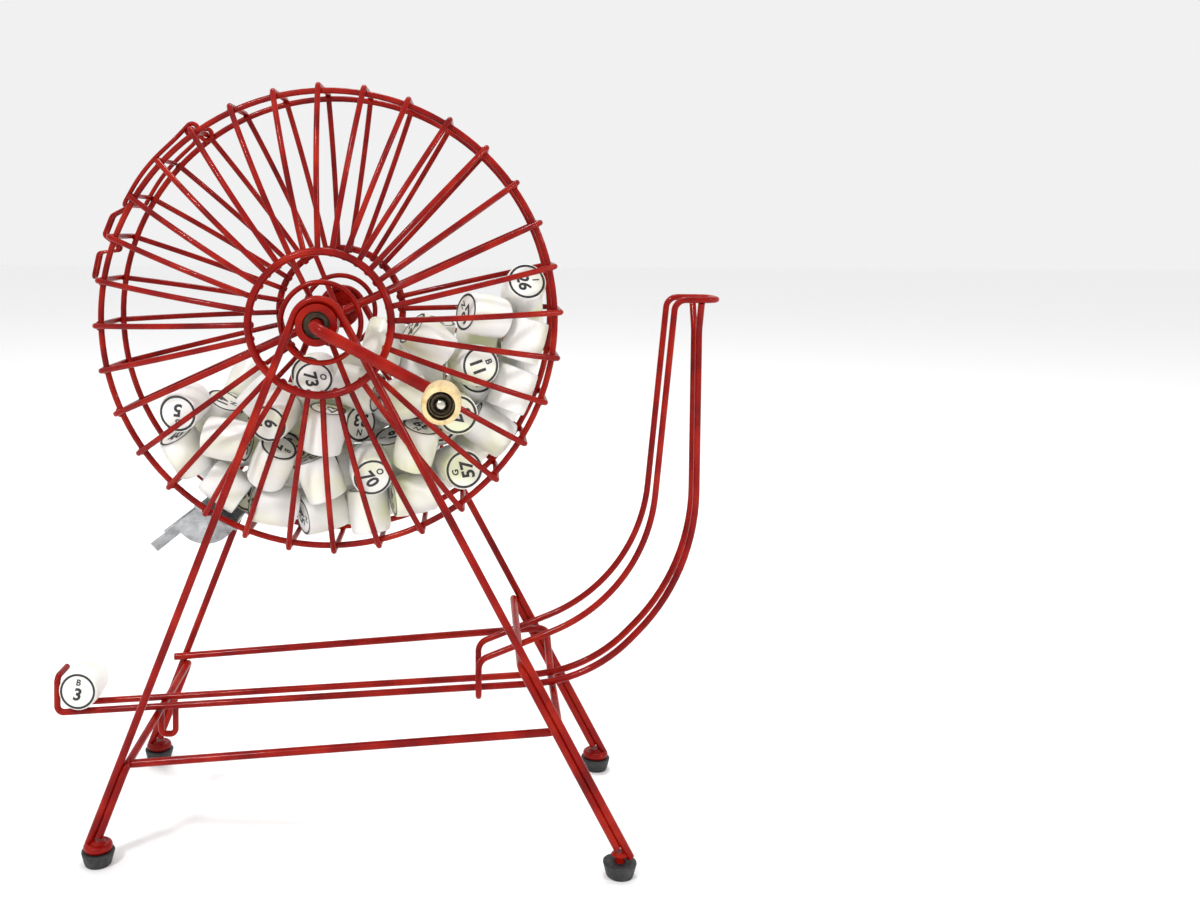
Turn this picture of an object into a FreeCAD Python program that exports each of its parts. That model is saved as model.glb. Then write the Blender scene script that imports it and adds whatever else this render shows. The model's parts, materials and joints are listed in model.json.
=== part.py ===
# Bingo cage: a wire cage that turns on a wire stand, with a scoop, a filling door, a ball chute
# and a track. Millimetres, +Z up. X runs along the track (chute at +X), the axle runs along Y with
# the crank at -Y. The origin is on the table, under the middle of the whole object.
import FreeCAD, Part
import Sketcher
import math
import os
import random
import re

from FreeCAD import Placement, Rotation, Vector

os.makedirs("parts", exist_ok=True)
doc = FreeCAD.newDocument("BingoCage")

# ---------------------------------------------------------------- driving dimensions
sheet = doc.addObject("Spreadsheet::Sheet", "Dimensions")
DIMENSIONS = [
    # where the axle stands over the origin
    ("axle_x", -28.2), ("axle_y", 19.25), ("axle_height", 270.0),
    # stand
    ("leg_wire", 4.0), ("leg_top_depth", 55.5), ("leg_foot_depth", 57.5),
    ("foot_left_x", -109.5), ("foot_right_x", 149.5), ("eyelet_ring", 5.2),
    ("foot_tall", 7.0), ("foot_top_dia", 16.6), ("foot_bottom_dia", 13.4),
    ("rivet_dia", 4.8), ("rivet_hole_dia", 4.9), ("rivet_head_dia", 8.4),
    ("bush_dia", 20.9), ("bush_long", 10.0), ("bush_bore", 6.15), ("bush_recess_dia", 14.0),
    # cage
    ("rim_ring", 118.8), ("rim_wire", 3.2), ("rim_half", 20.0),
    ("hub_ring", 35.9), ("hub_wire", 4.0), ("hub_half", 48.5),
    ("small_ring", 20.3), ("small_wire", 2.8),
    ("rib_wire", 3.0), ("rib_count", 32), ("rib_phase", 2.0), ("rib_lean", 30.0),
    ("spoke_lean", 16.0), ("axle_dia", 6.0), ("collar_dia", 11.0), ("collar_long", 4.0),
    # crank and knob
    ("crank_throw", 70.0), ("crank_angle", -27.5), ("crank_plane", 72.0),
    ("knob_dia", 18.4), ("knob_long", 28.0), ("knob_bore", 6.16), ("knob_recess_dia", 13.0),
    # scoop
    ("scoop_sheet", 0.9), ("scoop_half", 13.0),
    # door
    ("door_wire", 2.4), ("door_end", 151.0), ("eye_half", 16.5), ("latch_wire", 1.8),
    # base, track and chute
    ("base_drop", 212.3), ("base_rear_rise", 15.4), ("base_slope", 0.095), ("base_right_x", 120.0),
    ("left_hoop_lean", 5.5),
    ("track_wire", 3.5), ("track_gauge", 13.0), ("track_drop", 204.1), ("track_slope", 4.5),
    ("guard_wire", 3.3), ("guard_half", 13.3), ("chute_top", 10.5),
    # balls: short barrels with a flat face at each end
    ("ball_dia", 21.8), ("ball_long", 22.4), ("ball_face_dia", 19.2), ("ball_count", 66),
]
for row, (alias, value) in enumerate(DIMENSIONS, start=1):
    sheet.set("A%d" % row, alias)
    sheet.set("B%d" % row, "%g" % value)
    sheet.setAlias("B%d" % row, alias)
doc.recompute()


def size(text):
    """A driving dimension, or an expression of them, worked out by the sheet."""
    value = sheet.evalExpression(text)
    return float(getattr(value, "Value", value))


AXLE = Vector(size("axle_x"), size("axle_y"), size("axle_height"))
BACK = Vector(0, 1, 0)
WELD = 0.05            # how far two welded wires run into each other
LEG_WELD = 0.35        # the same where wires lie along or across the spreading legs
nodes = []             # the sub-parts, in the order they are made


# ---------------------------------------------------------------- helpers
def keep(obj, label, at=Vector(), rotation=Rotation()):
    """Names a sub-part and puts it at a point given from the middle of the axle."""
    obj.Label = label
    obj.Placement = Placement(AXLE + at, rotation)
    nodes.append(obj)
    return obj


def feature(label, shape, at=Vector(), rotation=Rotation()):
    """A sub-part whose shape Part's functions make, drawn about the middle of the axle."""
    obj = doc.addObject("Part::Feature", label)
    obj.Shape = shape
    return keep(obj, label, at, rotation)


def bound(expression):
    """The same expression, as a document object reads it from the sheet."""
    return re.sub(r"[a-z_]{3,}", r"Dimensions.\g<0>", expression)


def ring(label, radius, wire, at):
    """A ring of round wire about the axle's direction."""
    obj = doc.addObject("Part::Torus", label)
    obj.setExpression("Radius1", bound(radius))
    obj.setExpression("Radius2", bound(wire + " / 2"))
    return keep(obj, label, at, Rotation(Vector(0, 0, 1), BACK))


def turned(label, outline, at, axis=Vector(0, 0, 1)):
    """A body turned about its own Z from an outline of (radius, height) expressions."""
    body = doc.addObject("PartDesign::Body", label)
    sketch = body.newObject("Sketcher::SketchObject", label + "_outline")
    plane = [f for f in body.Origin.OriginFeatures if f.Role == "XZ_Plane"][0]
    sketch.AttachmentSupport = [(plane, "")]
    sketch.MapMode = "FlatFace"
    corners = [Vector(size(radius), size(height), 0) for radius, height in outline]
    count = len(corners)
    for i in range(count):
        sketch.addGeometry(Part.LineSegment(corners[i], corners[(i + 1) % count]), False)
    for i in range(count):
        sketch.addConstraint(Sketcher.Constraint("Coincident", i, 2, (i + 1) % count, 1))
    for i, texts in enumerate(outline):
        for kind, text, value, axis_line in zip(("DistanceX", "DistanceY"), texts, corners[i], (-2, -1)):
            if abs(value) < 1e-9:
                sketch.addConstraint(Sketcher.Constraint("PointOnObject", i, 1, axis_line))
                continue
            index = sketch.addConstraint(Sketcher.Constraint(kind, -1, 1, i, 1, value))
            if bound(text) != text:
                sketch.setExpression("Constraints[%d]" % index, bound(text))
    turn = body.newObject("PartDesign::Revolution", label + "_turn")
    turn.Profile = sketch
    turn.ReferenceAxis = (sketch, ["V_Axis"])
    turn.Angle = 360
    body.Tip = turn
    return keep(body, label, at, Rotation(Vector(0, 0, 1), axis))


def polar(radius, degrees, y=0.0):
    angle = math.radians(degrees)
    return Vector(radius * math.cos(angle), y, radius * math.sin(angle))


def bent_path(points, radii):
    """Straight runs joined by tangent arcs, with one bend radius for each inner point."""
    edges = []
    start = points[0]
    for i in range(1, len(points) - 1):
        corner = points[i]
        back = (points[i - 1] - corner).normalize()
        ahead = points[i + 1] - corner
        share = ahead.Length * (0.6 if i < len(points) - 2 else 0.98)
        ahead.normalize()
        half_turn = (math.pi - back.getAngle(ahead)) / 2
        room = min((start - corner).Length * 0.99, share)
        tangent = min(radii[i - 1] * math.tan(half_turn), room)
        radius = tangent / math.tan(half_turn)
        middle_way = (back + ahead).normalize()
        centre = corner + middle_way * (radius / math.cos(half_turn))
        first, last = corner + back * tangent, corner + ahead * tangent
        edges.append(Part.LineSegment(start, first).toShape())
        edges.append(Part.Arc(first, centre - middle_way * radius, last).toShape())
        start = last
    edges.append(Part.LineSegment(start, points[-1]).toShape())
    return Part.Wire(edges), start


def tube(path, start, heading, diameter):
    """A round wire swept along a smooth path."""
    profile = Part.Wire([Part.Circle(start, heading, diameter / 2).toShape()])
    solid = path.makePipeShell([profile], True, True)
    return solid


def bent_wire(points, radii, diameter):
    path = bent_path(points, radii)[0]
    return tube(path, points[0], points[1] - points[0], diameter)


def sheet_plate(outline, y_low, y_high):
    """A flat plate from a closed list of edges in the XZ plane, thickened along Y."""
    face = Part.Face(Part.Wire(outline))
    face.translate(Vector(0, y_low, 0))
    return face.extrude(Vector(0, y_high - y_low, 0))


# ---------------------------------------------------------------- lines that the wires share
FLOOR = -size("axle_height")
EYELET_Z = FLOOR + size("foot_tall + leg_wire / 2")
FOOT_X = {"left": size("foot_left_x"), "right": size("foot_right_x")}
OUTWARD = {"left": -1, "right": 1}
SIDES = (("front", -1), ("rear", 1))
GAUGE = size("track_gauge") / 2


def leg_line(side):
    """Foot end and direction, up and inwards, of a leg that runs on to the arch over the bush."""
    x = FOOT_X[side] + OUTWARD[side] * size("eyelet_ring")
    reach = math.hypot(x, EYELET_Z)
    arch = size("bush_dia / 2 + leg_wire / 2") - WELD
    lean = math.atan2(abs(x), -EYELET_Z) - math.asin(arch / reach)
    return x, math.tan(lean) * -OUTWARD[side]


def leg_x(side, z):
    x, slope = leg_line(side)
    return x + slope * (z - EYELET_Z)


def leg_y(z):
    """Depth of the leg frames, which spread a little towards the feet."""
    share = z / EYELET_Z
    return size("leg_top_depth") * (1 - share) + size("leg_foot_depth") * share


def track_z(x):
    return -size("track_drop") + x * math.tan(math.radians(size("track_slope")))


# The guard leaves its left corner at a gentle slope, then climbs beside the chute.
GUARD_LEFT = Vector(80.2, 0, -181.0)
GUARD_KNEE = Vector(167.3, 0, -144.5)
GUARD_TOP_X = 182.0


GUARD_SLOPE = (GUARD_KNEE.z - GUARD_LEFT.z) / (GUARD_KNEE.x - GUARD_LEFT.x)


def guard_z(x):
    return GUARD_LEFT.z + (x - GUARD_LEFT.x) * GUARD_SLOPE


# ---------------------------------------------------------------- stand
def leg_frame(label, sign):
    """One wire: a foot eyelet, a leg, the arch over the bush, the other leg and its eyelet."""
    left, left_slope = leg_line("left")
    right, right_slope = leg_line("right")
    peak = (right - left) / (left_slope - right_slope)
    points = [Vector(left, sign * leg_y(EYELET_Z), EYELET_Z),
              Vector(left + left_slope * peak, sign * leg_y(0), EYELET_Z + peak),
              Vector(right, sign * leg_y(EYELET_Z), EYELET_Z)]
    solid = bent_wire(points, [size("bush_dia / 2 + leg_wire / 2") - WELD], size("leg_wire"))
    for side in ("left", "right"):
        centre = Vector(FOOT_X[side], sign * leg_y(EYELET_Z), EYELET_Z)
        eyelet = Part.makeTorus(size("eyelet_ring"), size("leg_wire / 2"), centre, Vector(0, 0, 1))
        solid = solid.fuse(eyelet)
    feature(label, solid)


def hoop_x(side, z):
    beside = (size("leg_wire") - LEG_WELD) * math.sqrt(1 + leg_line(side)[1] ** 2)
    return leg_x(side, z) - OUTWARD[side] * beside


def side_hoop(label, side, height, lean=0.0):
    """A second wire up one pair of legs that crosses from the front legs to the rear ones."""
    low, front, rear = EYELET_Z + 4.5, height - lean, height + lean
    points = [Vector(hoop_x(side, low), -leg_y(low), low),
              Vector(hoop_x(side, front), -leg_y(front), front),
              Vector(hoop_x(side, rear), leg_y(rear), rear),
              Vector(hoop_x(side, low), leg_y(low), low)]
    feature(label, bent_wire(points, [5, 5], size("leg_wire")))
    return hoop_x(side, height)


def base_frame():
    """Front rail, right crossbar that dips level under the track, and rear rail, in one wire."""
    rear_y = leg_y(-205) - size("leg_wire") + LEG_WELD
    front_y = -rear_y
    right = size("base_right_x")
    under = track_z(right) - size("track_wire / 2 + leg_wire / 2") + WELD

    def rail(x, y, rise):
        return Vector(x, y, -size("base_drop") + rise + size("base_slope") * x)

    rise = size("base_rear_rise")
    points = [rail(-101, front_y, 0), rail(right, front_y, 0),
              Vector(right, -GAUGE - 5, under), Vector(right, GAUGE + 5, under),
              rail(right, rear_y, rise), rail(-99, rear_y, rise)]
    feature("base_frame", bent_wire(points, [6, 20, 20, 6], size("leg_wire")))


def chute_rail(sign):
    """The chute part of a track rail: round the bend, up the chute and out to the guard's loop."""
    first, second = 139.2, Vector(194.6, sign * GAUGE, -135.1)
    flare_z, top_z = -6.0, size("chute_top - guard_wire / 2") + 0.1
    return [Vector(first, sign * GAUGE, track_z(first)), second,
            Vector(second.x + 0.9, sign * GAUGE, flare_z),
            Vector(second.x + 1.0, sign * (size("guard_half") - 0.5), top_z)]


def track_rails():
    """Two rails for the balls. The front one is bent up and back at the left, as the stop."""
    stop_x, stop_z = -148.0, -196.4
    bends = [80, 110, 12]
    front = [Vector(stop_x, 9, stop_z), Vector(stop_x, -GAUGE, stop_z),
             Vector(stop_x, -GAUGE, track_z(stop_x))] + chute_rail(-1)
    feature("track_front_rail", bent_wire(front, [3.5, 3.5] + bends, size("track_wire")))
    rear = [Vector(stop_x + 2, GAUGE, track_z(stop_x + 2))] + chute_rail(1)
    feature("track_rear_rail", bent_wire(rear, bends, size("track_wire")))


def chute_guard():
    """One wire: it hooks under the rails at each end and loops round the top of the chute."""
    half, top = size("guard_half"), size("chute_top")
    under = track_z(GUARD_LEFT.x) - size("track_wire / 2 + guard_wire / 2") + WELD

    def side(sign):
        y = Vector(0, sign * half, 0)
        return [Vector(GUARD_LEFT.x, sign * (GAUGE - 2), under), Vector(GUARD_LEFT.x, sign * half, under),
                GUARD_LEFT + y, GUARD_KNEE + y, Vector(GUARD_TOP_X, sign * half, top)]

    loop = [Vector(204.5, -half, top), Vector(204.5, half, top)]
    bends = [3.5, 7, 88, 6]
    points = side(-1) + loop + side(1)[::-1]
    feature("chute_guard", bent_wire(points, bends + [8, 8] + bends[::-1], size("guard_wire")))


def track_hook(bridge_x, bridge_z):
    """A small U under the left end of the track."""
    low, wide = bridge_z - 14, 8.0
    points = [Vector(bridge_x, 0, bridge_z - 1.5), Vector(bridge_x, 0, low),
              Vector(bridge_x + wide, 0, low), Vector(bridge_x + wide, 0, bridge_z + 1)]
    feature("track_hook", bent_wire(points, [3, 3], size("guard_wire")))


def feet():
    for side in ("left", "right"):
        for name, sign in SIDES:
            at = Vector(FOOT_X[side], sign * leg_y(EYELET_Z), FLOOR)
            turned("rubber_foot_%s_%s" % (name, side),
                   [("0", "0"), ("foot_bottom_dia / 2", "0"), ("foot_top_dia / 2", "foot_tall"),
                    ("rivet_hole_dia / 2", "foot_tall"), ("rivet_hole_dia / 2", "2.5"), ("0", "2.5")], at)
    rivets = []
    shank, head = size("rivet_dia / 2"), size("rivet_head_dia / 2")
    seat = size("foot_tall + leg_wire") - 0.4
    for side in ("left", "right"):
        for _, sign in SIDES:
            at = Vector(FOOT_X[side], sign * leg_y(EYELET_Z), FLOOR)
            rivet = Part.makeCylinder(shank, seat - 2.7 + 0.2, Vector(0, 0, 2.7))
            rivet = rivet.fuse(Part.makeCone(head, head - 1.4, 1.3, Vector(0, 0, seat)))
            rivets.append(rivet.translated(at))
    feature("foot_rivets", Part.makeCompound(rivets))


def bushes():
    for name, sign in SIDES:
        turned(name + "_bearing_bush",
               [("bush_bore / 2", "-bush_long / 2"), ("bush_dia / 2", "-bush_long / 2"),
                ("bush_dia / 2", "bush_long / 2"), ("bush_recess_dia / 2", "bush_long / 2"),
                ("bush_recess_dia / 2", "bush_long / 2 - 3"), ("bush_bore / 2", "bush_long / 2 - 3")],
               Vector(0, sign * leg_y(0), 0), Vector(0, sign, 0))


# ---------------------------------------------------------------- cage
RIM, HALF = size("rim_ring"), size("rim_half")
WRAP = size("rim_wire / 2 + rib_wire / 2") - WELD      # rib centreline about the rim wire
RIB_TOP = RIM + WRAP                                   # rib centreline where it crosses the rim
LEAN = math.radians(size("rib_lean"))
RIB_HUB_Y = size("hub_half - hub_wire / 2 - rib_wire / 2") + WELD
DOME = (RIB_HUB_Y - HALF - WRAP * math.cos(LEAN)) / (1 - math.cos(LEAN))
RIB_HUB = RIM + WRAP * math.sin(LEAN) - DOME * math.sin(LEAN)
STEP = 360.0 / size("rib_count")


def rib_angle(index):
    return size("rib_phase") + STEP * index


def dome_point(heading, sign=-1):
    """Radius and depth of a rib where its heading has turned this far towards the cage's middle."""
    return (RIB_HUB + DOME * math.sin(heading),
            sign * (RIB_HUB_Y - DOME * (1 - math.cos(heading))))


def wrap_point(heading, sign=-1):
    return RIM + WRAP * math.sin(heading), sign * (HALF + WRAP * math.cos(heading))


def rib_half(sign, inner):
    """Edges from the hub out to the rim ring; inner is 'hub' or 'axle' for where the wire starts."""
    edges = []
    if inner == "axle":
        lean, bend = math.radians(size("spoke_lean")), 20.0
        turn = [(RIB_HUB - bend * math.sin(a), sign * (RIB_HUB_Y - bend * (1 - math.cos(a))))
                for a in (lean, lean / 2, 0)]
        start_r = size("axle_dia / 2") - WELD
        start_y = turn[0][1] - sign * (turn[0][0] - start_r) * math.tan(lean)
        edges.append(("line", (start_r, start_y), turn[0]))
        edges.append(("arc",) + tuple(turn))
    edges.append(("arc", dome_point(0, sign), dome_point(LEAN / 2, sign), dome_point(LEAN, sign)))
    return edges


def rib_edge(kind, *points, degrees):
    spots = [polar(radius, degrees, y) for radius, y in points]
    curve = Part.LineSegment(*spots) if kind == "line" else Part.Arc(*spots)
    return curve.toShape()


def rib(index, inner="hub"):
    """A whole rib: from the front hub ring, over both rim rings, to the rear hub ring."""
    degrees = rib_angle(index)
    right, middle = math.pi / 2, (math.pi / 2 + LEAN) / 2
    front = rib_half(-1, inner)
    rear = [(e[0],) + tuple(reversed(e[1:])) for e in reversed(rib_half(1, inner))]
    across = [("arc", wrap_point(LEAN), wrap_point(middle), wrap_point(right)),
              ("line", wrap_point(right), wrap_point(right, 1)),
              ("arc", wrap_point(right, 1), wrap_point(middle, 1), wrap_point(LEAN, 1))]
    edges = [rib_edge(*e, degrees=degrees) for e in front + across + rear]
    return rib_tube(edges, front[0], degrees)


def cut_rib(index, sign):
    """A rib that stops at its rim ring, beside the door or the scoop."""
    degrees = rib_angle(index)
    half = rib_half(sign, "hub")
    half.append(("arc",) + tuple(wrap_point(LEAN + turn, sign) for turn in (0, 0.05, 0.1)))
    return rib_tube([rib_edge(*e, degrees=degrees) for e in half], half[0], degrees)


def rib_tube(edges, first, degrees):
    start = polar(first[1][0], degrees, first[1][1])
    heading = edges[0].tangentAt(edges[0].FirstParameter)
    return tube(Part.Wire(edges), start, heading, size("rib_wire"))


DOOR_RIBS = (12, 13)
SCOOP_RIB = 21
SPOKE_RIBS = (2, 10, 18, 26)


def ribs():
    """Wires between the spoke ribs stay in one node for each quarter of the cage."""
    for number, index in enumerate(SPOKE_RIBS, start=1):
        feature("spoke_rib_%d" % number, rib(index, "axle"))
    for name, first in zip(("right", "top", "left", "bottom"), (27, 3, 11, 19)):
        whole = [i % 32 for i in range(first, first + 7)
                 if i % 32 not in DOOR_RIBS and i % 32 != SCOOP_RIB]
        feature("ribs_" + name, Part.makeCompound([rib(i) for i in whole]))
    for side, sign in SIDES:
        halves = [cut_rib(i, sign) for i in DOOR_RIBS + (SCOOP_RIB,)]
        feature("cut_ribs_" + side, Part.makeCompound(halves))


def rings():
    lean = math.radians(size("spoke_lean"))
    spoke_at_small = RIB_HUB_Y - (RIB_HUB - size("small_ring")) * math.tan(lean)
    small_half = spoke_at_small + (size("small_wire / 2 + rib_wire / 2") - WELD) / math.cos(lean)
    for side, sign in SIDES:
        ring("rim_ring_" + side, "rim_ring", "rim_wire", Vector(0, sign * HALF, 0))
        ring("hub_ring_" + side, "hub_ring", "hub_wire", Vector(0, sign * size("hub_half"), 0))
        ring("small_ring_" + side, "small_ring", "small_wire", Vector(0, sign * small_half, 0))


# ---------------------------------------------------------------- axle, crank and knob
CRANK = polar(size("crank_throw"), size("crank_angle"))
KNOB_BACK = size("crank_plane + axle_dia / 2") + 1.5
RECESS_DEEP = 6.0
KNOB_FLOOR = KNOB_BACK + size("knob_long") - RECESS_DEEP


def crank_axle():
    """The axle and crank are one wire: through both bushes, down the arm and out as the knob's pin."""
    plane = size("crank_plane")
    pin_end = KNOB_FLOOR + 0.4
    points = [Vector(0, 66, 0), Vector(0, -plane, 0), CRANK + Vector(0, -plane, 0),
              CRANK + Vector(0, -pin_end, 0)]
    feature("crank_axle", bent_wire(points, [6.5, 5], size("axle_dia")))


def collars():
    """A collar inside each bush keeps the axle from sliding."""
    for side, sign in SIDES:
        y = sign * (leg_y(0) - size("bush_long / 2") - 0.5)
        collar = doc.addObject("Part::Cylinder", "collar_body")
        collar.setExpression("Radius", bound("collar_dia / 2"))
        collar.setExpression("Height", bound("collar_long"))
        hole = doc.addObject("Part::Cylinder", "collar_hole")
        hole.setExpression("Radius", bound("axle_dia / 2"))
        hole.setExpression("Height", bound("collar_long"))
        cut = doc.addObject("Part::Cut", side + "_collar")
        cut.Base = collar
        cut.Tool = hole
        keep(cut, side + "_collar", Vector(0, y, 0), Rotation(Vector(0, 0, 1), Vector(0, -sign, 0)))


def knob():
    at = CRANK + Vector(0, -KNOB_BACK, 0)
    turned("crank_knob",
           [("knob_bore / 2", "0"), ("knob_dia / 2 - 2.4", "0"), ("knob_dia / 2 - 0.9", "1.2"),
            ("knob_dia / 2 - 0.2", "6"), ("knob_dia / 2", "knob_long / 2"),
            ("knob_dia / 2 - 0.1", "knob_long - 3"), ("knob_dia / 2 - 0.6", "knob_long - 0.8"),
            ("knob_dia / 2 - 1.4", "knob_long"), ("knob_recess_dia / 2", "knob_long"),
            ("knob_recess_dia / 2", "knob_long - 6"), ("knob_bore / 2", "knob_long - 6")],
           at, Vector(0, -1, 0))
    turned("knob_retainer",
           [("0", "0"), ("5.4", "0"), ("5.4", "1.1"), ("2.9", "1.5"), ("2.6", "2.9"), ("0", "3.3")],
           CRANK + Vector(0, -KNOB_FLOOR - 0.35, 0), Vector(0, -1, 0))


# ---------------------------------------------------------------- scoop
def scoop():
    """A bent sheet trough between the rims: two cheeks, a floor and two straps on the rims."""
    thick, half = size("scoop_sheet"), size("scoop_half")
    tip_top, tip_low = Vector(-94.8, 0, -120.8), Vector(-90.7, 0, -124.9)
    knee, belly, root = Vector(-78.4, 0, -114.8), Vector(-66.0, 0, -120.6), Vector(-74.2, 0, -105.0)
    on_rim = RIM + size("rim_wire / 2") - 0.05
    heel, rim_middle, brow = [polar(on_rim + 0.3, angle) for angle in (246.0, 241.0, 235.8)]
    bowl = Part.Arc(knee, belly, heel).toShape()
    outline = [Part.LineSegment(tip_low, knee).toShape(), bowl,
               Part.Arc(heel, rim_middle, brow).toShape(), Part.LineSegment(brow, root).toShape(),
               Part.LineSegment(root, tip_top).toShape(), Part.LineSegment(tip_top, tip_low).toShape()]
    solid = sheet_plate(outline, -half - thick, half + thick)
    ramp = (knee - tip_low).normalize()
    up = Vector(-ramp.z, 0, ramp.x) * thick
    centre = bowl.Curve.Center
    inner_belly, inner_heel = [p + (centre - p).normalize() * thick for p in (belly, heel)]
    past_tip = tip_low + up - ramp * 8
    corners = [inner_heel, Vector(-42, 0, -98), Vector(-114, 0, -94), past_tip, knee + up]
    room = [Part.LineSegment(corners[i], corners[i + 1]).toShape() for i in range(4)]
    room.append(Part.Arc(knee + up, inner_belly, inner_heel).toShape())
    solid = solid.cut(sheet_plate(room, -half, half))
    low, high = [[polar(radius, angle) for angle in (234.8, 241.0, 247.0)]
                 for radius in (on_rim, on_rim + thick)]
    strap = [Part.Arc(*low).toShape(), Part.LineSegment(low[2], high[2]).toShape(),
             Part.Arc(*high[::-1]).toShape(), Part.LineSegment(high[0], low[0]).toShape()]
    for sign in (-1, 1):
        ends = sorted((sign * (half + 0.25), sign * (HALF + 0.6)))
        solid = solid.fuse(sheet_plate(strap, ends[0], ends[1]))
    feature("scoop", solid)


# ---------------------------------------------------------------- door
DOOR_R = RIM + size("rim_wire / 2 + door_wire / 2") + 0.35
HINGE = rib_angle(11)


def door():
    """A wire frame hinged on a rib by two rolled eyes, two crossbars and a hairpin latch."""
    wire, eye_y = size("door_wire"), size("eye_half")
    eye = size("rib_wire / 2") + 0.4 + wire / 2
    end = size("door_end")
    middle = (131 + end) / 2
    bulge = DOOR_R / math.cos(math.radians((end - 131) / 2))
    halves = []
    for sign in (-1, 1):
        halves.append([polar(RIB_TOP + eye, HINGE, sign * eye_y), polar(DOOR_R + 0.8, 130.2, sign * HALF),
                       polar(bulge, middle, sign * HALF), polar(DOOR_R, end, sign * HALF)])
    points = halves[0] + halves[1][::-1]
    solid = bent_wire(points, [6, DOOR_R, 3, 3, DOOR_R, 6], wire)
    for sign in (-1, 1):
        centre = polar(RIB_TOP, HINGE, sign * eye_y)
        solid = solid.fuse(Part.makeTorus(eye, wire / 2, centre, BACK))
    feature("door_frame", solid)
    reach = HALF - wire / 2 + 0.3
    for number, index in enumerate(DOOR_RIBS, start=1):
        degrees = rib_angle(index)
        bar = [polar(DOOR_R, degrees, -reach), polar(DOOR_R, degrees, reach)]
        feature("door_bar_%d" % number, bent_wire(bar, [], wire))


def latch():
    """A hairpin on the door that runs over the next rib, dips behind it and ends in a finger tab."""
    wire = size("latch_wire")
    low, high = DOOR_R + size("door_wire / 2") + wire / 2 - WELD, 130.0
    dip = RIM - 1.0
    route = [(low, 146.5), (low, 151.8), (high, 155.5), (high, 160.6), (dip, 162.6), (high, 164.9),
             (high, 171.0)]
    one = [polar(r, a, -3.0) for r, a in route]
    two = [polar(r, a, 3.0) for r, a in reversed(route)]
    bends = [4, 4, 2.2, 1.6, 2.2]
    solid = bent_wire(one + two, bends + [2.4, 2.4] + bends[::-1], wire)
    feature("door_latch", solid)


# ---------------------------------------------------------------- balls
BALL_R, BALL_HALF, FACE_R = size("ball_dia / 2"), size("ball_long / 2"), size("ball_face_dia / 2")
EDGE = 0.9             # rounding between a ball's side and its flat face
SIDE_R = BALL_R - 0.5  # radius of the barrel beside that rounding
RIM_INNER = RIM - size("rim_wire / 2") - 0.8
RIB_INNER = DOME - size("rib_wire / 2")


def ball_shape():
    """A barrel about Z: slightly bulged side, rounded edges, flat faces."""
    side = [Vector(SIDE_R, 0, -BALL_HALF + EDGE), Vector(BALL_R, 0, 0), Vector(SIDE_R, 0, BALL_HALF - EDGE)]
    edges = [Part.Arc(*side).toShape()]
    for sign in (1, -1):
        rim = Vector(SIDE_R, 0, sign * (BALL_HALF - EDGE))
        face = Vector(FACE_R, 0, sign * BALL_HALF)
        middle = Vector((SIDE_R + FACE_R) / 2 + 0.22, 0, sign * (BALL_HALF - EDGE * 0.36))
        edges.append(Part.Arc(rim, middle, face).toShape())
        edges.append(Part.LineSegment(face, Vector(0, 0, sign * BALL_HALF)).toShape())
    edges.append(Part.LineSegment(Vector(0, 0, -BALL_HALF), Vector(0, 0, BALL_HALF)).toShape())
    outline = Part.Wire(Part.__sortEdges__(edges))
    return Part.Face(outline).revolve(Vector(), Vector(0, 0, 1), 360)


def called_ball():
    """The ball that has rolled down: it lies across the rails against the stop."""
    x = -135.3
    contact = SIDE_R + (BALL_R - SIDE_R) * (1 - (GAUGE / (BALL_HALF - EDGE)) ** 2)
    z = track_z(x) + (contact + size("track_wire / 2") + 0.08) / math.cos(math.radians(size("track_slope")))
    feature("called_ball", ball_shape(), Vector(x, 0, z), Rotation(Vector(0, 0, 1), Vector(0, -1, 0)))


SPACING = 26.4         # least distance between ball middles while they settle
CLEAR = 13.4           # distance kept from the cage's wires while they settle
SLOPE = math.radians(24)


def settle():
    """Ball middles: they slide down a heap that leans to the right, and push each other apart."""
    pick = random.Random(11)
    down = (math.sin(SLOPE), 0.0, -math.cos(SLOPE))
    spots = []
    for i in range(int(size("ball_count"))):
        row, column = divmod(i, 3)
        along, up = (row % 8) - 3.5, row // 8
        spots.append([along * 26.0 + pick.uniform(-2, 2) + 10, (column - 1) * 24.0,
                      up * 26.0 - 80 + pick.uniform(-2, 2)])
    for pass_number in range(420):
        pull = 1.2 * max(0.0, 1 - pass_number / 330.0)
        for spot in spots:
            for k in range(3):
                spot[k] += down[k] * pull + (pick.uniform(-0.25, 0.25) if pass_number < 250 else 0)
        for _ in range(3):
            part_neighbours(spots)
            for spot in spots:
                hold_in_cage(spot)
    return spots


def part_neighbours(spots):
    for i in range(len(spots)):
        a = spots[i]
        for j in range(i):
            b = spots[j]
            dx, dy, dz = a[0] - b[0], a[1] - b[1], a[2] - b[2]
            square = dx * dx + dy * dy + dz * dz
            if square >= SPACING * SPACING or square < 1e-9:
                continue
            gap = math.sqrt(square)
            push = (SPACING - gap) / gap / 2
            a[0] += dx * push
            a[1] += dy * push
            a[2] += dz * push
            b[0] -= dx * push
            b[1] -= dy * push
            b[2] -= dz * push


def hold_in_cage(spot):
    """Keeps a ball's middle inside the rims and the domed ribs, and off the axle and spokes."""
    radius = math.hypot(spot[0], spot[2]) or 1e-6
    most = RIM - size("rim_wire / 2") - CLEAR
    least = 19.0
    wanted = min(max(radius, least), most)
    spot[0] *= wanted / radius
    spot[2] *= wanted / radius
    radius = wanted
    if radius < 50:
        depth = 20.0
    else:
        reach = DOME - size("rib_wire / 2") - CLEAR
        depth = math.sqrt(reach ** 2 - (radius - RIB_HUB) ** 2) - (DOME - RIB_HUB_Y)
    spot[1] = min(max(spot[1], -depth), depth)


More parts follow.
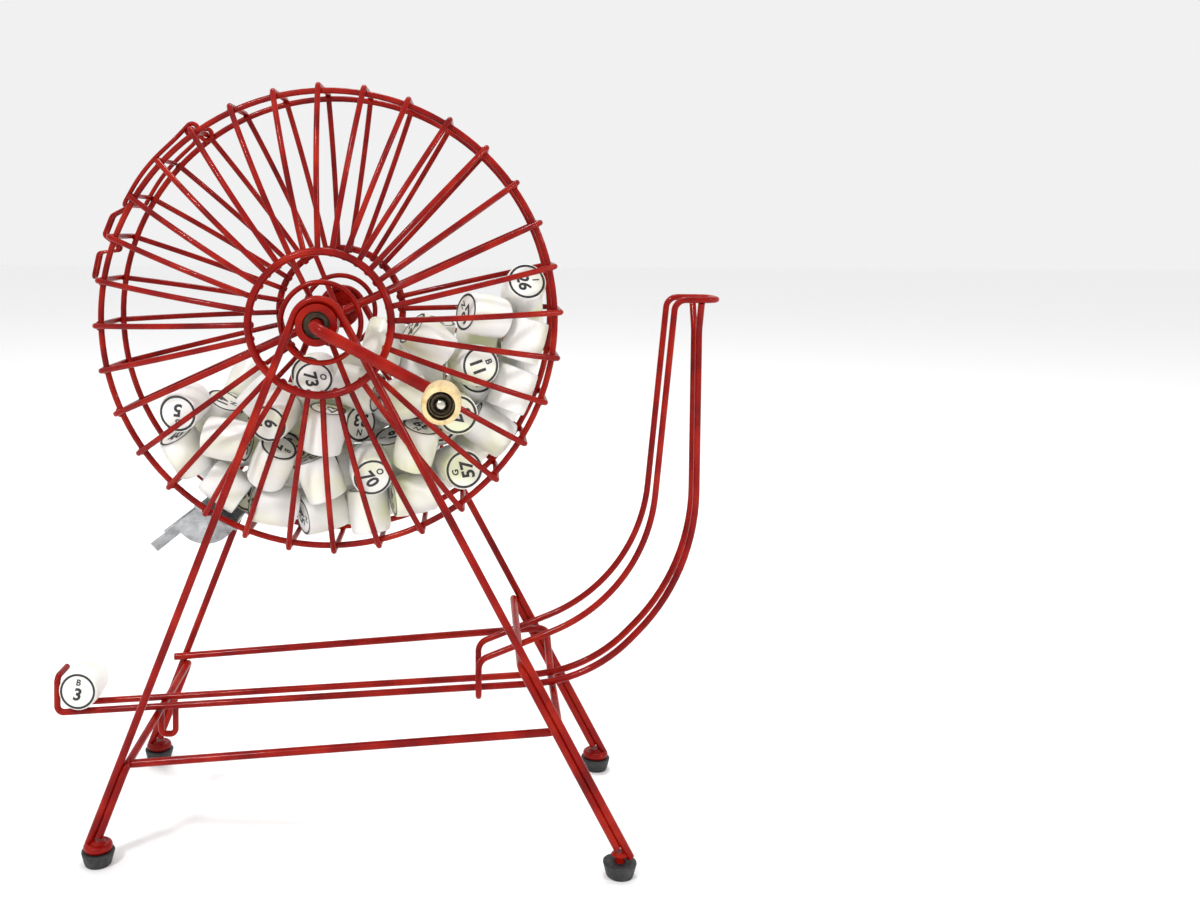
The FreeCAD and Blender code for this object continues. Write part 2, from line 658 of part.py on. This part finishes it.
def surface_points(spot, axis):
    """Points all over a ball's surface, to test it against its neighbours."""
    side = axis.cross(Vector(0.31, 0.52, 0.79)).normalize()
    other = axis.cross(side)
    spots = [spot + axis * BALL_HALF, spot - axis * BALL_HALF]
    for along, radius, count in ((BALL_HALF - 0.2, FACE_R + 0.5, 20), (0, BALL_R, 10),
                                 (-BALL_HALF + 0.2, FACE_R + 0.5, 20)):
        for k in range(count):
            angle = 2 * math.pi * k / count
            spots.append(spot + axis * along + side * (radius * math.cos(angle))
                         + other * (radius * math.sin(angle)))
    return [tuple(p) for p in spots]


def deepest(points, spot, axis, limit):
    """How far any of the points lies inside a ball; it stops early once past the limit."""
    x, y, z = spot
    a, b, c = axis
    deep = -9.0
    for px, py, pz in points:
        px, py, pz = px - x, py - y, pz - z
        along = abs(px * a + py * b + pz * c)
        if along > BALL_HALF - deep:
            continue
        across = math.sqrt(max(px * px + py * py + pz * pz - along * along, 0))
        inside = min(BALL_HALF - along, BALL_R - 0.5 * (along / BALL_HALF) ** 2 - across)
        if inside > deep:
            deep = inside
            if deep > limit:
                break
    return deep


def outside_cage(points):
    """How far any of the points lies outside the room within the rims and the domed ribs."""
    far = -9.0
    for x, y, z in points:
        radius = math.hypot(x, z)
        far = max(far, radius - RIM_INNER,
                  math.hypot(radius - RIB_HUB, abs(y) + DOME - RIB_HUB_Y) - RIB_INNER)
    return far


def heap():
    """Each ball is turned and nudged at random until it clears the cage and the balls beside it."""
    pick = random.Random(5)
    spots = [Vector(*spot) for spot in settle()]
    found = {}
    for attempt in range(4):
        for i, home in enumerate(spots):
            if i in found and found[i][0] < -0.15:
                continue
            near = [found[j] for j in found if j != i and (found[j][1] - home).Length < 32]
            best = None
            for trial in range(240 if attempt == 0 else 700):
                spot = home
                if attempt or trial > 120:
                    spot = home + Vector(pick.gauss(0, 1), pick.gauss(0, 1), pick.gauss(0, 1)) * 0.6
                axis = Vector(pick.gauss(0, 1), pick.gauss(0, 1), pick.gauss(0, 1)).normalize()
                points = surface_points(spot, axis)
                limit = best[0] if best else 99.0
                deep = outside_cage(points)
                for _, other, other_axis, other_points in near:
                    if deep > limit:
                        break
                    deep = max(deep, deepest(points, other, other_axis, limit))
                    if deep <= limit:
                        deep = max(deep, deepest(other_points, spot, axis, limit))
                if deep < limit:
                    best = (deep, spot, axis, points)
                    if deep < -0.25:
                        break
            found[i] = best
            spots[i] = best[1]
    print("ball heap: deepest overlap", round(max(f[0] for f in found.values()), 2),
          "top", round(max(f[1].z for f in found.values()), 1))
    return [found[i][1:3] for i in range(len(spots))]


def balls():
    shape = ball_shape()
    solids = []
    for spot, axis in heap():
        solid = shape.copy()
        solid.Placement = Placement(spot, Rotation(Vector(0, 0, 1), axis))
        solids.append(solid)
    feature("balls", Part.makeCompound(solids))


# ---------------------------------------------------------------- build, check and write
for side_name, side_sign in SIDES:
    leg_frame(side_name + "_leg_frame", side_sign)
left_top = track_z(-92.3) - size("track_wire / 2 + leg_wire / 2") + WELD
hook_x = side_hoop("left_side_hoop", "left", left_top, size("left_hoop_lean"))
right_top = -170.0
for _ in range(8):
    over_guard = (size("guard_wire / 2 + leg_wire / 2") - WELD) * math.sqrt(1 + GUARD_SLOPE ** 2)
    right_top = guard_z(hoop_x("right", right_top)) + over_guard
side_hoop("right_side_hoop", "right", right_top)
base_frame()
track_rails()
chute_guard()
track_hook(hook_x, left_top)
feet()
bushes()
rings()
ribs()
crank_axle()
collars()
knob()
scoop()
door()
latch()
called_ball()
balls()
doc.recompute()

box = FreeCAD.BoundBox()
for obj in doc.Objects:
    if "Invalid" in obj.State or "Error" in obj.State:
        raise RuntimeError("failed: %s %s" % (obj.Label, obj.State))
for obj in nodes:
    if obj.Shape.isNull() or not obj.Shape.isValid() or not obj.Shape.Solids:
        raise RuntimeError("bad shape: " + obj.Label)
    box.add(obj.Shape.BoundBox)
for obj in nodes:
    obj.Shape.exportStep("parts/%s.step" % obj.Label)
print("nodes", len(nodes), "box", box)
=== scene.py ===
import bpy
import bmesh
import json
import math
import random
from mathutils import Matrix, Vector


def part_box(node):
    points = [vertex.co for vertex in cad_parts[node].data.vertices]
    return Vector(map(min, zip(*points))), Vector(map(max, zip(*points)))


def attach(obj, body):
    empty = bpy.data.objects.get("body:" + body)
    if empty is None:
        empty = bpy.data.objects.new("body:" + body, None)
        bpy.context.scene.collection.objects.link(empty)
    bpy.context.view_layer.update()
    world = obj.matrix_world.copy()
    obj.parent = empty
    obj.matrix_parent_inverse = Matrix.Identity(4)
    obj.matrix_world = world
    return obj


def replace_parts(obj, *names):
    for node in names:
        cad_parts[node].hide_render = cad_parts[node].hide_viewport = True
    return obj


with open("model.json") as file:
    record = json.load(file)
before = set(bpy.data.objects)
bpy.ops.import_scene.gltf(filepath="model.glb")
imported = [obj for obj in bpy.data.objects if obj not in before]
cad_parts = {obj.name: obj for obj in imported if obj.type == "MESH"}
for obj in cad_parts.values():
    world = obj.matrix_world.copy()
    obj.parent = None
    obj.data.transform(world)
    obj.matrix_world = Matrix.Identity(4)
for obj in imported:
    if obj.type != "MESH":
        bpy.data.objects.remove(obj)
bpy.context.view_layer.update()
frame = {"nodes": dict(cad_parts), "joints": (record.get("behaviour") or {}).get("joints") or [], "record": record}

nodes = frame["nodes"]
joints = {j["name"]: j for j in frame["joints"]}
AXLE = Vector(joints["cage_turn"]["pos_m"])
PIN = Vector(joints["knob_turn"]["pos_m"])
MM = 0.001
RIB_COUNT, RIB_PHASE = 32, 2.0          # ribs round the cage, and the first one's angle in degrees
RIB_STEP = 360.0 / RIB_COUNT
SPOKE_RIBS = (2, 10, 18, 26)            # the ribs that run on inwards to the axle
scene = bpy.context.scene
scene.view_settings.view_transform = "Standard"


# ------------------------------------------------------------------ camera
def camera():
    """A camera a little right of the axle and above it, with the frame shifted to the left and down."""
    cam = bpy.data.cameras.new("camera")
    cam.lens, cam.sensor_width, cam.sensor_fit = 35.33, 36.0, "HORIZONTAL"
    cam.shift_x, cam.shift_y = 0.1417, -0.1583
    cam.clip_start, cam.clip_end = 0.02, 30
    obj = bpy.data.objects.new("camera", cam)
    scene.collection.objects.link(obj)
    turn = (Matrix.Rotation(0.036, 4, "Z") @ Matrix.Rotation(-0.027, 4, "X")
            @ Matrix.Rotation(-0.003, 4, "Y") @ Matrix.Rotation(math.pi / 2, 4, "X"))
    obj.matrix_world = Matrix.Translation(AXLE + Vector((0.0760, -0.6309, 0.0475))) @ turn
    scene.camera = obj


# ------------------------------------------------------------------ materials
def node(tree, kind, **inputs):
    made = tree.nodes.new("ShaderNode" + kind)
    for name, value in inputs.items():
        made.inputs[name.replace("_", " ")].default_value = value
    return made


def material(name, roughness=0.4, metallic=0.0, coat=0.0, coat_roughness=0.05):
    mat = bpy.data.materials.new(name)
    mat.use_nodes = True
    tree = mat.node_tree
    shader = tree.nodes["Principled BSDF"]
    shader.inputs["Roughness"].default_value = roughness
    shader.inputs["Metallic"].default_value = metallic
    shader.inputs["Coat Weight"].default_value = coat
    shader.inputs["Coat Roughness"].default_value = coat_roughness
    return mat, tree, shader


def noise(tree, scale, detail=2.0, rough=0.5, stretch=None):
    """Noise in the object's own metres."""
    place = tree.nodes.new("ShaderNodeTexCoord")
    made = node(tree, "TexNoise", Scale=scale, Detail=detail, Roughness=rough)
    source = place.outputs["Object"]
    if stretch:
        mapping = tree.nodes.new("ShaderNodeMapping")
        mapping.inputs["Scale"].default_value = stretch
        tree.links.new(source, mapping.inputs["Vector"])
        source = mapping.outputs["Vector"]
    tree.links.new(source, made.inputs["Vector"])
    return made.outputs["Fac"]


def ramp(tree, source, *stops):
    made = tree.nodes.new("ShaderNodeValToRGB")
    while len(made.color_ramp.elements) < len(stops):
        made.color_ramp.elements.new(0.5)
    for element, (at, colour) in zip(made.color_ramp.elements, stops):
        element.position, element.color = at, tuple(colour) + (1.0,)
    tree.links.new(source, made.inputs["Fac"])
    return made.outputs["Color"]


def bump(tree, shader, source, strength, distance, below=None):
    made = node(tree, "Bump", Strength=strength, Distance=distance)
    tree.links.new(source, made.inputs["Height"])
    if below:
        tree.links.new(below, made.inputs["Normal"])
    tree.links.new(made.outputs["Normal"], shader.inputs["Normal"])
    return made.outputs["Normal"]


def mix_values(tree, source, low, high):
    made = node(tree, "MapRange")
    made.inputs["From Min"].default_value, made.inputs["From Max"].default_value = 0.3, 0.7
    made.inputs["To Min"].default_value, made.inputs["To Max"].default_value = low, high
    tree.links.new(source, made.inputs["Value"])
    return made.outputs["Result"]


def enamel():
    """Dipped red enamel on wire: thick gloss with soft unevenness, and painted shade: its red wanders at random
    between a shadow-dark tone and a lit tone.
    """
    mat, tree, shader = material("red_enamel", 0.3, 0.0, 0.16, 0.04)
    shader.inputs["Specular IOR Level"].default_value = 0.08
    # painted shade: this noise spreads the red between a dark shaded tone and a brighter lit tone
    cloud = noise(tree, 55.0, 3.0)
    colour = ramp(tree, cloud, (0.3, (0.13, 0.001, 0.001)), (0.5, (0.23, 0.003, 0.001)),
                  (0.75, (0.34, 0.013, 0.003)))
    tree.links.new(colour, shader.inputs["Base Color"])
    tree.links.new(mix_values(tree, noise(tree, 160.0, 2.0), 0.22, 0.38), shader.inputs["Roughness"])
    low = bump(tree, shader, noise(tree, 140.0, 1.0), 0.35, 0.0004)
    bump(tree, shader, noise(tree, 1500.0, 2.0), 0.10, 0.0001, low)
    return mat


def rubber():
    mat, tree, shader = material("black_rubber", 0.6)
    colour = ramp(tree, noise(tree, 300.0, 3.0), (0.35, (0.008, 0.008, 0.009)), (0.75, (0.028, 0.028, 0.03)))
    tree.links.new(colour, shader.inputs["Base Color"])
    tree.links.new(mix_values(tree, noise(tree, 500.0, 2.0), 0.5, 0.75), shader.inputs["Roughness"])
    bump(tree, shader, noise(tree, 900.0, 4.0), 0.35, 0.0002)
    return mat


def wood():
    """Pale turned wood: grain along the knob, with tiny dark pores."""
    mat, tree, shader = material("pale_wood", 0.42, 0.0, 0.25, 0.25)
    grain = noise(tree, 260.0, 4.0, 0.6, (1.0, 0.07, 1.0))
    colour = ramp(tree, grain, (0.28, (0.50, 0.34, 0.13)), (0.48, (0.70, 0.53, 0.26)),
                  (0.72, (0.79, 0.65, 0.37)))
    pores = noise(tree, 900.0, 2.0, 0.5, (1.0, 0.12, 1.0))
    shade = ramp(tree, pores, (0.30, (0.55, 0.55, 0.55)), (0.40, (1.0, 1.0, 1.0)))
    both = node(tree, "Mix")
    both.data_type, both.blend_type = "RGBA", "MULTIPLY"
    both.inputs[0].default_value = 0.6
    tree.links.new(colour, both.inputs[6])
    tree.links.new(shade, both.inputs[7])
    tree.links.new(both.outputs[2], shader.inputs["Base Color"])
    bump(tree, shader, grain, 0.25, 0.0002)
    return mat


def metal(name, dark, light, roughness, spread, scratch=(1.0, 1.0, 1.0)):
    mat, tree, shader = material(name, roughness, 1.0)
    cloud = noise(tree, 120.0, 4.0, 0.6)
    tree.links.new(ramp(tree, cloud, (0.3, dark), (0.7, light)), shader.inputs["Base Color"])
    fine = noise(tree, 700.0, 3.0, 0.6, scratch)
    tree.links.new(mix_values(tree, fine, roughness - spread, roughness + spread),
                   shader.inputs["Roughness"])
    bump(tree, shader, fine, 0.25, 0.0001)
    return mat


def ball_plastic():
    """Ivory plastic, a little waxy, with painted shade: a faint darker yellow-green tint that differs from ball to
    ball.
    """
    mat, tree, shader = material("ball_plastic", 0.38, 0.0, 0.2, 0.2)
    shader.inputs["Subsurface Weight"].default_value = 0.25
    shader.inputs["Subsurface Scale"].default_value = 0.004
    shader.inputs["Subsurface Radius"].default_value = (1.0, 0.95, 0.6)
    # painted shade: the darker yellow-green end of this ramp stands in for the shade between balls
    painted_shade_tint = noise(tree, 38.0, 1.0)
    colour = ramp(tree, painted_shade_tint, (0.30, (0.72, 0.75, 0.50)), (0.42, (0.80, 0.80, 0.70)),
                  (0.56, (0.83, 0.83, 0.80)))
    tree.links.new(colour, shader.inputs["Base Color"])
    tree.links.new(mix_values(tree, noise(tree, 220.0, 3.0), 0.3, 0.46), shader.inputs["Roughness"])
    bump(tree, shader, noise(tree, 420.0, 3.0), 0.08, 0.0002)
    return mat


def ink():
    mat, tree, shader = material("black_ink", 0.5)
    colour = ramp(tree, noise(tree, 700.0, 3.0), (0.3, (0.010, 0.010, 0.011)), (0.8, (0.035, 0.034, 0.034)))
    tree.links.new(colour, shader.inputs["Base Color"])
    return mat


MATS = {"red_enamel": enamel(), "rubber": rubber(), "wood": wood(), "ball_plastic": ball_plastic(),
        "ink": ink(),
        "aluminium": metal("scoop_sheet", (0.22, 0.225, 0.23), (0.52, 0.53, 0.54), 0.36, 0.14,
                           (0.2, 1.0, 1.0)),
        "steel": metal("pin_steel", (0.42, 0.39, 0.33), (0.70, 0.66, 0.58), 0.25, 0.08),
        # dark_steel also colours the painted shade ring in each bush recess
        "dark_steel": metal("dark_steel", (0.035, 0.026, 0.02), (0.12, 0.09, 0.065), 0.42, 0.12)}


# ------------------------------------------------------------------ making pieces
def piece(name, bm, mat, body, smooth=True):
    mesh = bpy.data.meshes.new(name)
    bmesh.ops.recalc_face_normals(bm, faces=bm.faces)
    bm.to_mesh(mesh)
    bm.free()
    if smooth:
        mesh.shade_smooth()
    mesh.materials.append(MATS[mat])
    obj = bpy.data.objects.new(name, mesh)
    scene.collection.objects.link(obj)
    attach(obj, body)
    return obj


def lathe(bm, profile, matrix, steps=40, ripple=None):
    """Turns (radius, height) points about Z. A point at radius 0 closes the end."""
    rings = []
    for radius, height in profile:
        if radius < 1e-9:
            rings.append([bm.verts.new(matrix @ Vector((0, 0, height)))])
            continue
        ring = []
        for i in range(steps):
            angle = 2 * math.pi * i / steps
            r = radius + (ripple(angle, height) if ripple else 0.0)
            ring.append(bm.verts.new(matrix @ Vector((r * math.cos(angle), r * math.sin(angle), height))))
        rings.append(ring)
    for a, b in zip(rings, rings[1:]):
        for i in range(steps):
            j = (i + 1) % steps
            if len(a) == 1:
                bm.faces.new((a[0], b[i], b[j]))
            elif len(b) == 1:
                bm.faces.new((a[i], a[j], b[0]))
            else:
                bm.faces.new((a[i], a[j], b[j], b[i]))


def facing(at, axis):
    """A frame at a point whose Z looks along axis, in millimetres."""
    turn = Vector(axis).to_track_quat("Z", "Y").to_matrix().to_4x4()
    return Matrix.Translation(at) @ turn @ Matrix.Scale(MM, 4)


def blob(bm, at, size, axes):
    """A rounded bead of enamel over a weld: a stretched sphere."""
    turn = Matrix((axes[0], axes[1], axes[2])).transposed().to_4x4()
    shape = Matrix.Diagonal((size[0] * MM, size[1] * MM, size[2] * MM, 1.0))
    bmesh.ops.create_icosphere(bm, subdivisions=2, radius=1.0,
                               matrix=Matrix.Translation(at) @ turn @ shape)


def polar(radius, degrees, y=0.0):
    """A point at a radius and angle about the axle, y along it, all in millimetres from its middle."""
    angle = math.radians(degrees)
    return AXLE + Vector((radius * math.cos(angle), y, radius * math.sin(angle))) * MM


# ------------------------------------------------------------------ balls
# One half of a ball, as (radius, height) in millimetres from its flat face to its middle.
BALL = [(0, 11.2), (6.0, 11.2), (9.2, 11.2), (9.75, 11.16), (10.1, 10.95), (10.3, 10.5), (10.45, 9.3),
        (10.65, 6.8), (10.84, 3.6), (10.9, 0)]
BALL_PROFILE = BALL + [(r, -h) for r, h in reversed(BALL[:-1])]
INK_LIFT = 11.23                        # the ink stands a hair above the flat face
INK_RING, INK_RING_STEPS = 9.6, 36      # the ring's outer radius
LETTER_TALL, LETTER_AT = 3.5, 4.9
NUMBER_TALL, NUMBER_AT = 7.0, -1.6
CALLED_NUMBER, CALLED_SPIN = 3, -0.12
GLYPHS = {}


def glyph(text):
    """Outline of a letter or number as flat triangles about its middle, one unit tall."""
    if text not in GLYPHS:
        curve = bpy.data.curves.new("glyph", "FONT")
        curve.body, curve.align_x, curve.align_y = text, "CENTER", "CENTER"
        curve.offset, curve.shear, curve.resolution_u = 0.034, 0.12, 3
        holder = bpy.data.objects.new("glyph", curve)
        scene.collection.objects.link(holder)
        bpy.context.view_layer.update()
        mesh = bpy.data.meshes.new_from_object(holder.evaluated_get(bpy.context.evaluated_depsgraph_get()))
        xs = [v.co.x for v in mesh.vertices]
        ys = [v.co.y for v in mesh.vertices]
        mid = Vector(((min(xs) + max(xs)) / 2, (min(ys) + max(ys)) / 2, 0))
        tall = max(ys) - min(ys)
        GLYPHS[text] = ([(v.co - mid) / tall for v in mesh.vertices],
                        [tuple(p.vertices) for p in mesh.polygons])
        bpy.data.objects.remove(holder)
        bpy.data.curves.remove(curve)
        bpy.data.meshes.remove(mesh)
    return GLYPHS[text]


def print_face(bm, matrix, number):
    """A black ring with a letter over a number, a hair above a ball's flat face."""
    steps = INK_RING_STEPS
    angles = [2 * math.pi * i / steps for i in range(steps)]
    outer = [Vector((INK_RING * math.cos(a), INK_RING * math.sin(a), INK_LIFT)) for a in angles]
    rim = [bm.verts.new(matrix @ v) for v in outer]
    inside = [bm.verts.new(matrix @ Vector((v.x * 0.87, v.y * 0.87, INK_LIFT))) for v in outer]
    for i in range(steps):
        j = (i + 1) % steps
        bm.faces.new((rim[i], rim[j], inside[j], inside[i]))
    for text, tall, at in (("BINGO"[(number - 1) // 15], LETTER_TALL, LETTER_AT),
                           (str(number), NUMBER_TALL, NUMBER_AT)):
        spots, faces = glyph(text)
        verts = [bm.verts.new(matrix @ Vector((p.x * tall, p.y * tall + at, INK_LIFT))) for p in spots]
        for face in faces:
            bm.faces.new([verts[i] for i in face])


def ball_frames(name):
    """Where each ball of a CAD node is: its middle, and the direction its flat faces look."""
    mesh = nodes[name].data
    bm = bmesh.new()
    bm.from_mesh(mesh)
    bmesh.ops.remove_doubles(bm, verts=bm.verts, dist=1e-7)
    left = set(bm.faces)
    found = []
    while left:
        first = min(left, key=lambda f: f.index)
        stack, part = [first], []
        left.discard(first)
        while stack:
            face = stack.pop()
            part.append(face)
            for edge in face.edges:
                for other in edge.link_faces:
                    if other in left:
                        left.discard(other)
                        stack.append(other)
        areas = {}
        for face in part:
            n = face.normal
            if n.length < 0.5:
                continue
            key = tuple(round(c, 2) for c in n)
            total = areas.setdefault(key, [0.0, Vector()])
            total[0] += face.calc_area()
            total[1] += n * face.calc_area()
        axis = max(areas.values(), key=lambda t: t[0])[1].normalized()
        verts = {v for face in part for v in face.verts}
        along = [v.co.dot(axis) for v in verts]
        across = sum(((face.calc_center_median() * face.calc_area()) for face in part), Vector())
        across /= sum(face.calc_area() for face in part)
        middle = across + axis * ((max(along) + min(along)) / 2 - across.dot(axis))
        found.append((middle, axis))
    bm.free()
    return sorted(found, key=lambda f: tuple(round(c, 5) for c in f[0]))


def balls():
    """The heap in the cage and the called ball on the track, each with its ink."""
    pick = random.Random(3)
    numbers = [n for n in range(1, 76) if n != CALLED_NUMBER]
    pick.shuffle(numbers)
    shells, marks = bmesh.new(), bmesh.new()
    for (middle, axis), number in zip(ball_frames("balls"), numbers):
        if axis.y > 0:
            axis = -axis
        spin = Matrix.Rotation(pick.uniform(-math.pi, math.pi), 4, "Z")
        front = facing(middle, axis) @ spin
        lathe(shells, BALL_PROFILE, front, 44)
        print_face(marks, front, number)
        print_face(marks, facing(middle, -axis) @ spin, number)
    shell = piece("heap_balls", shells, "ball_plastic", "stand")
    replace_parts(shell, "balls")
    piece("heap_ball_marks", marks, "ink", "stand", smooth=False)
    low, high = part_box("called_ball")
    middle = (low + high) / 2
    shells, marks = bmesh.new(), bmesh.new()
    upright = Matrix.Translation(middle) @ Matrix.Rotation(math.pi / 2, 4, "X") @ Matrix.Scale(MM, 4)
    upright = upright @ Matrix.Rotation(CALLED_SPIN, 4, "Z")
    lathe(shells, BALL_PROFILE, upright, 64)
    print_face(marks, upright, CALLED_NUMBER)
    print_face(marks, upright @ Matrix.Rotation(math.pi, 4, "Y"), CALLED_NUMBER)
    shell = piece("called_ball_body", shells, "ball_plastic", "ball")
    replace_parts(shell, "called_ball")
    piece("called_ball_marks", marks, "ink", "ball", smooth=False)


# ------------------------------------------------------------------ welds
def rib_axes(k):
    """A rib's angle in degrees, and the directions out from the axle and round the cage there."""
    degrees = RIB_PHASE + RIB_STEP * k
    out = (polar(1, degrees) - AXLE).normalized()
    return degrees, out, Vector((0, 1, 0)).cross(out)


def cage_welds():
    """Enamel gathers in the corner of every weld between a rib and a ring."""
    pick = random.Random(8)
    bm = bmesh.new()
    for k in range(RIB_COUNT):
        degrees, out, along = rib_axes(k)
        for sign in (-1, 1):
            grow = pick.uniform(0.85, 1.15)
            away = Vector((0, sign, 0))
            blob(bm, polar(35.6, degrees, sign * 46.9), (2.4 * grow, 2.2 * grow, 1.5), (out, along, away))
            blob(bm, polar(119.9, degrees, sign * 21.35), (1.5, 2.3 * grow, 1.6), (out, along, away))
    for k in SPOKE_RIBS:
        degrees, out, along = rib_axes(k)
        for sign in (-1, 1):
            away = Vector((0, sign, 0))
            blob(bm, polar(20.3, degrees, sign * 42.2), (2.2, 2.2, 1.5), (out, along, away))
            blob(bm, polar(3.6, degrees, sign * 36.2), (1.6, 2.2, 2.2), (out, along, away))
    piece("cage_welds", bm, "red_enamel", "cage")


# ------------------------------------------------------------------ knob, pin and feet
def knob_fittings():
    """The dark threaded sleeve in the knob's mouth, and the push nut and cap on the crank's pin."""
    low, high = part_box("crank_knob")
    mouth_floor = low.y + 6.0 * MM
    bm = bmesh.new()
    wall = [(6.45, 0.3)]
    for i in range(5):
        wall += [(6.35, 0.7 + i), (5.95, 1.2 + i)]
    wall += [(6.45, 5.95)]
    at = Vector((PIN.x, mouth_floor, PIN.z))
    lathe(bm, wall, facing(at, (0, -1, 0)), 48)
    piece("knob_sleeve", bm, "dark_steel", "knob")
    low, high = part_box("knob_retainer")
    base = Vector((PIN.x, high.y, PIN.z))
    bm = bmesh.new()
    lathe(bm, [(0, 0), (5.2, 0), (5.3, 0.5), (4.9, 1.0), (4.2, 0.6), (3.4, 0.9), (2.8, 1.3), (0, 1.3)],
          facing(base, (0, -1, 0)), 96, lambda a, h: 0.25 * math.cos(12 * a) if 0.55 < h < 1.05 else 0.0)
    nut = piece("push_nut", bm, "dark_steel", "cage")
    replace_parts(nut, "knob_retainer")
    bm = bmesh.new()
    dome = [(3.2, 0.8), (3.1, 1.4)]
    dome += [(2.9 * math.cos(a), 1.5 + 1.9 * math.sin(a)) for a in (0.15, 0.4, 0.7, 1.0, 1.3)] + [(0, 3.4)]
    lathe(bm, dome, facing(base, (0, -1, 0)), 40)
    piece("pin_cap", bm, "steel", "cage")


def bush_seats():
    """Painted shade: a thin dark ring at the bottom of each bush's recess, round the axle."""
    for name, sign in (("front", -1), ("rear", 1)):
        low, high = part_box(name + "_bearing_bush")
        face = (low.y if sign < 0 else high.y) - sign * 3.0 * MM
        bm = bmesh.new()
        lathe(bm, [(3.15, 0.0), (3.2, 0.5), (4.6, 0.55), (5.0, 0.25), (6.3, 0.3), (6.85, 0.9), (6.9, 0.0)],
              facing(Vector((AXLE.x, face, AXLE.z)), (0, sign, 0)), 48)
        # painted shade: a dark steel ring standing in for the shade in the recess
        piece(name + "_bush_painted_shade", bm, "dark_steel", "stand")


def feet():
    """Rubber feet: each widens upwards and has a rounded, slightly uneven top edge."""
    for name in sorted(n for n in nodes if n.startswith("rubber_foot")):
        low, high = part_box(name)
        at = Vector(((low.x + high.x) / 2, (low.y + high.y) / 2, low.z))
        bm = bmesh.new()
        profile = [(0, 0.0), (5.6, 0.0), (6.2, 0.12), (6.55, 0.45), (6.8, 1.2), (7.35, 3.2), (7.8, 4.9),
                   (8.05, 5.9), (8.2, 6.4), (8.15, 6.8), (7.8, 6.98), (6.6, 7.0), (2.6, 7.0),
                   (2.48, 6.7), (2.46, 2.6), (0, 2.6)]
        lathe(bm, profile, facing(at, (0, 0, 1)), 56,
              lambda a, h: 0.06 * math.sin(9 * a + 2) * math.sin(4 * a) if h > 5.5 else 0.0)
        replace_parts(piece("foot_" + name[12:], bm, "rubber", "stand"), name)


# ------------------------------------------------------------------ floor and light
def studio():
    """A pale floor, an even white surround and three soft lights."""
    mesh = bpy.data.meshes.new("floor")
    mesh.from_pydata([(-9, -9, 0), (9, -9, 0), (9, 9, 0), (-9, 9, 0)], [], [(0, 1, 2, 3)])
    mat, tree, shader = material("floor", 0.7)
    shader.inputs["Base Color"].default_value = (0.97, 0.97, 0.97, 1)
    mesh.materials.append(mat)
    floor = bpy.data.objects.new("floor", mesh)
    scene.collection.objects.link(floor)
    world = bpy.data.worlds.new("world")
    scene.world = world
    world.use_nodes = True
    sky = world.node_tree.nodes["Background"]
    sky.inputs["Color"].default_value = (1.0, 1.0, 1.0, 1)
    sky.inputs["Strength"].default_value = 0.88
    for name, at, aim, size, power in (("key", (-0.9, -1.5, 1.9), (0, 0, 0.2), 0.35, 26),
                                       ("side", (1.8, -0.9, 1.0), (0, 0, 0.2), 0.35, 9),
                                       ("top", (0.1, 0.6, 2.2), (0, 0, 0.1), 0.5, 16)):
        light = bpy.data.lights.new(name, "AREA")
        light.shape, light.size, light.energy = "DISK", size, power
        obj = bpy.data.objects.new(name, light)
        scene.collection.objects.link(obj)
        obj.matrix_world = (Matrix.Translation(at)
                            @ (Vector(at) - Vector(aim)).to_track_quat("Z", "Y").to_matrix().to_4x4())


# ------------------------------------------------------------------ scene
camera()
slots = {s["node"]: s["material_slot"] for s in frame["record"]["subparts"]}
for name, obj in nodes.items():
    for holder in obj.material_slots:
        holder.material = MATS[slots[name]]
    obj.data.shade_smooth()
balls()
cage_welds()
knob_fittings()
bush_seats()
feet()
studio()
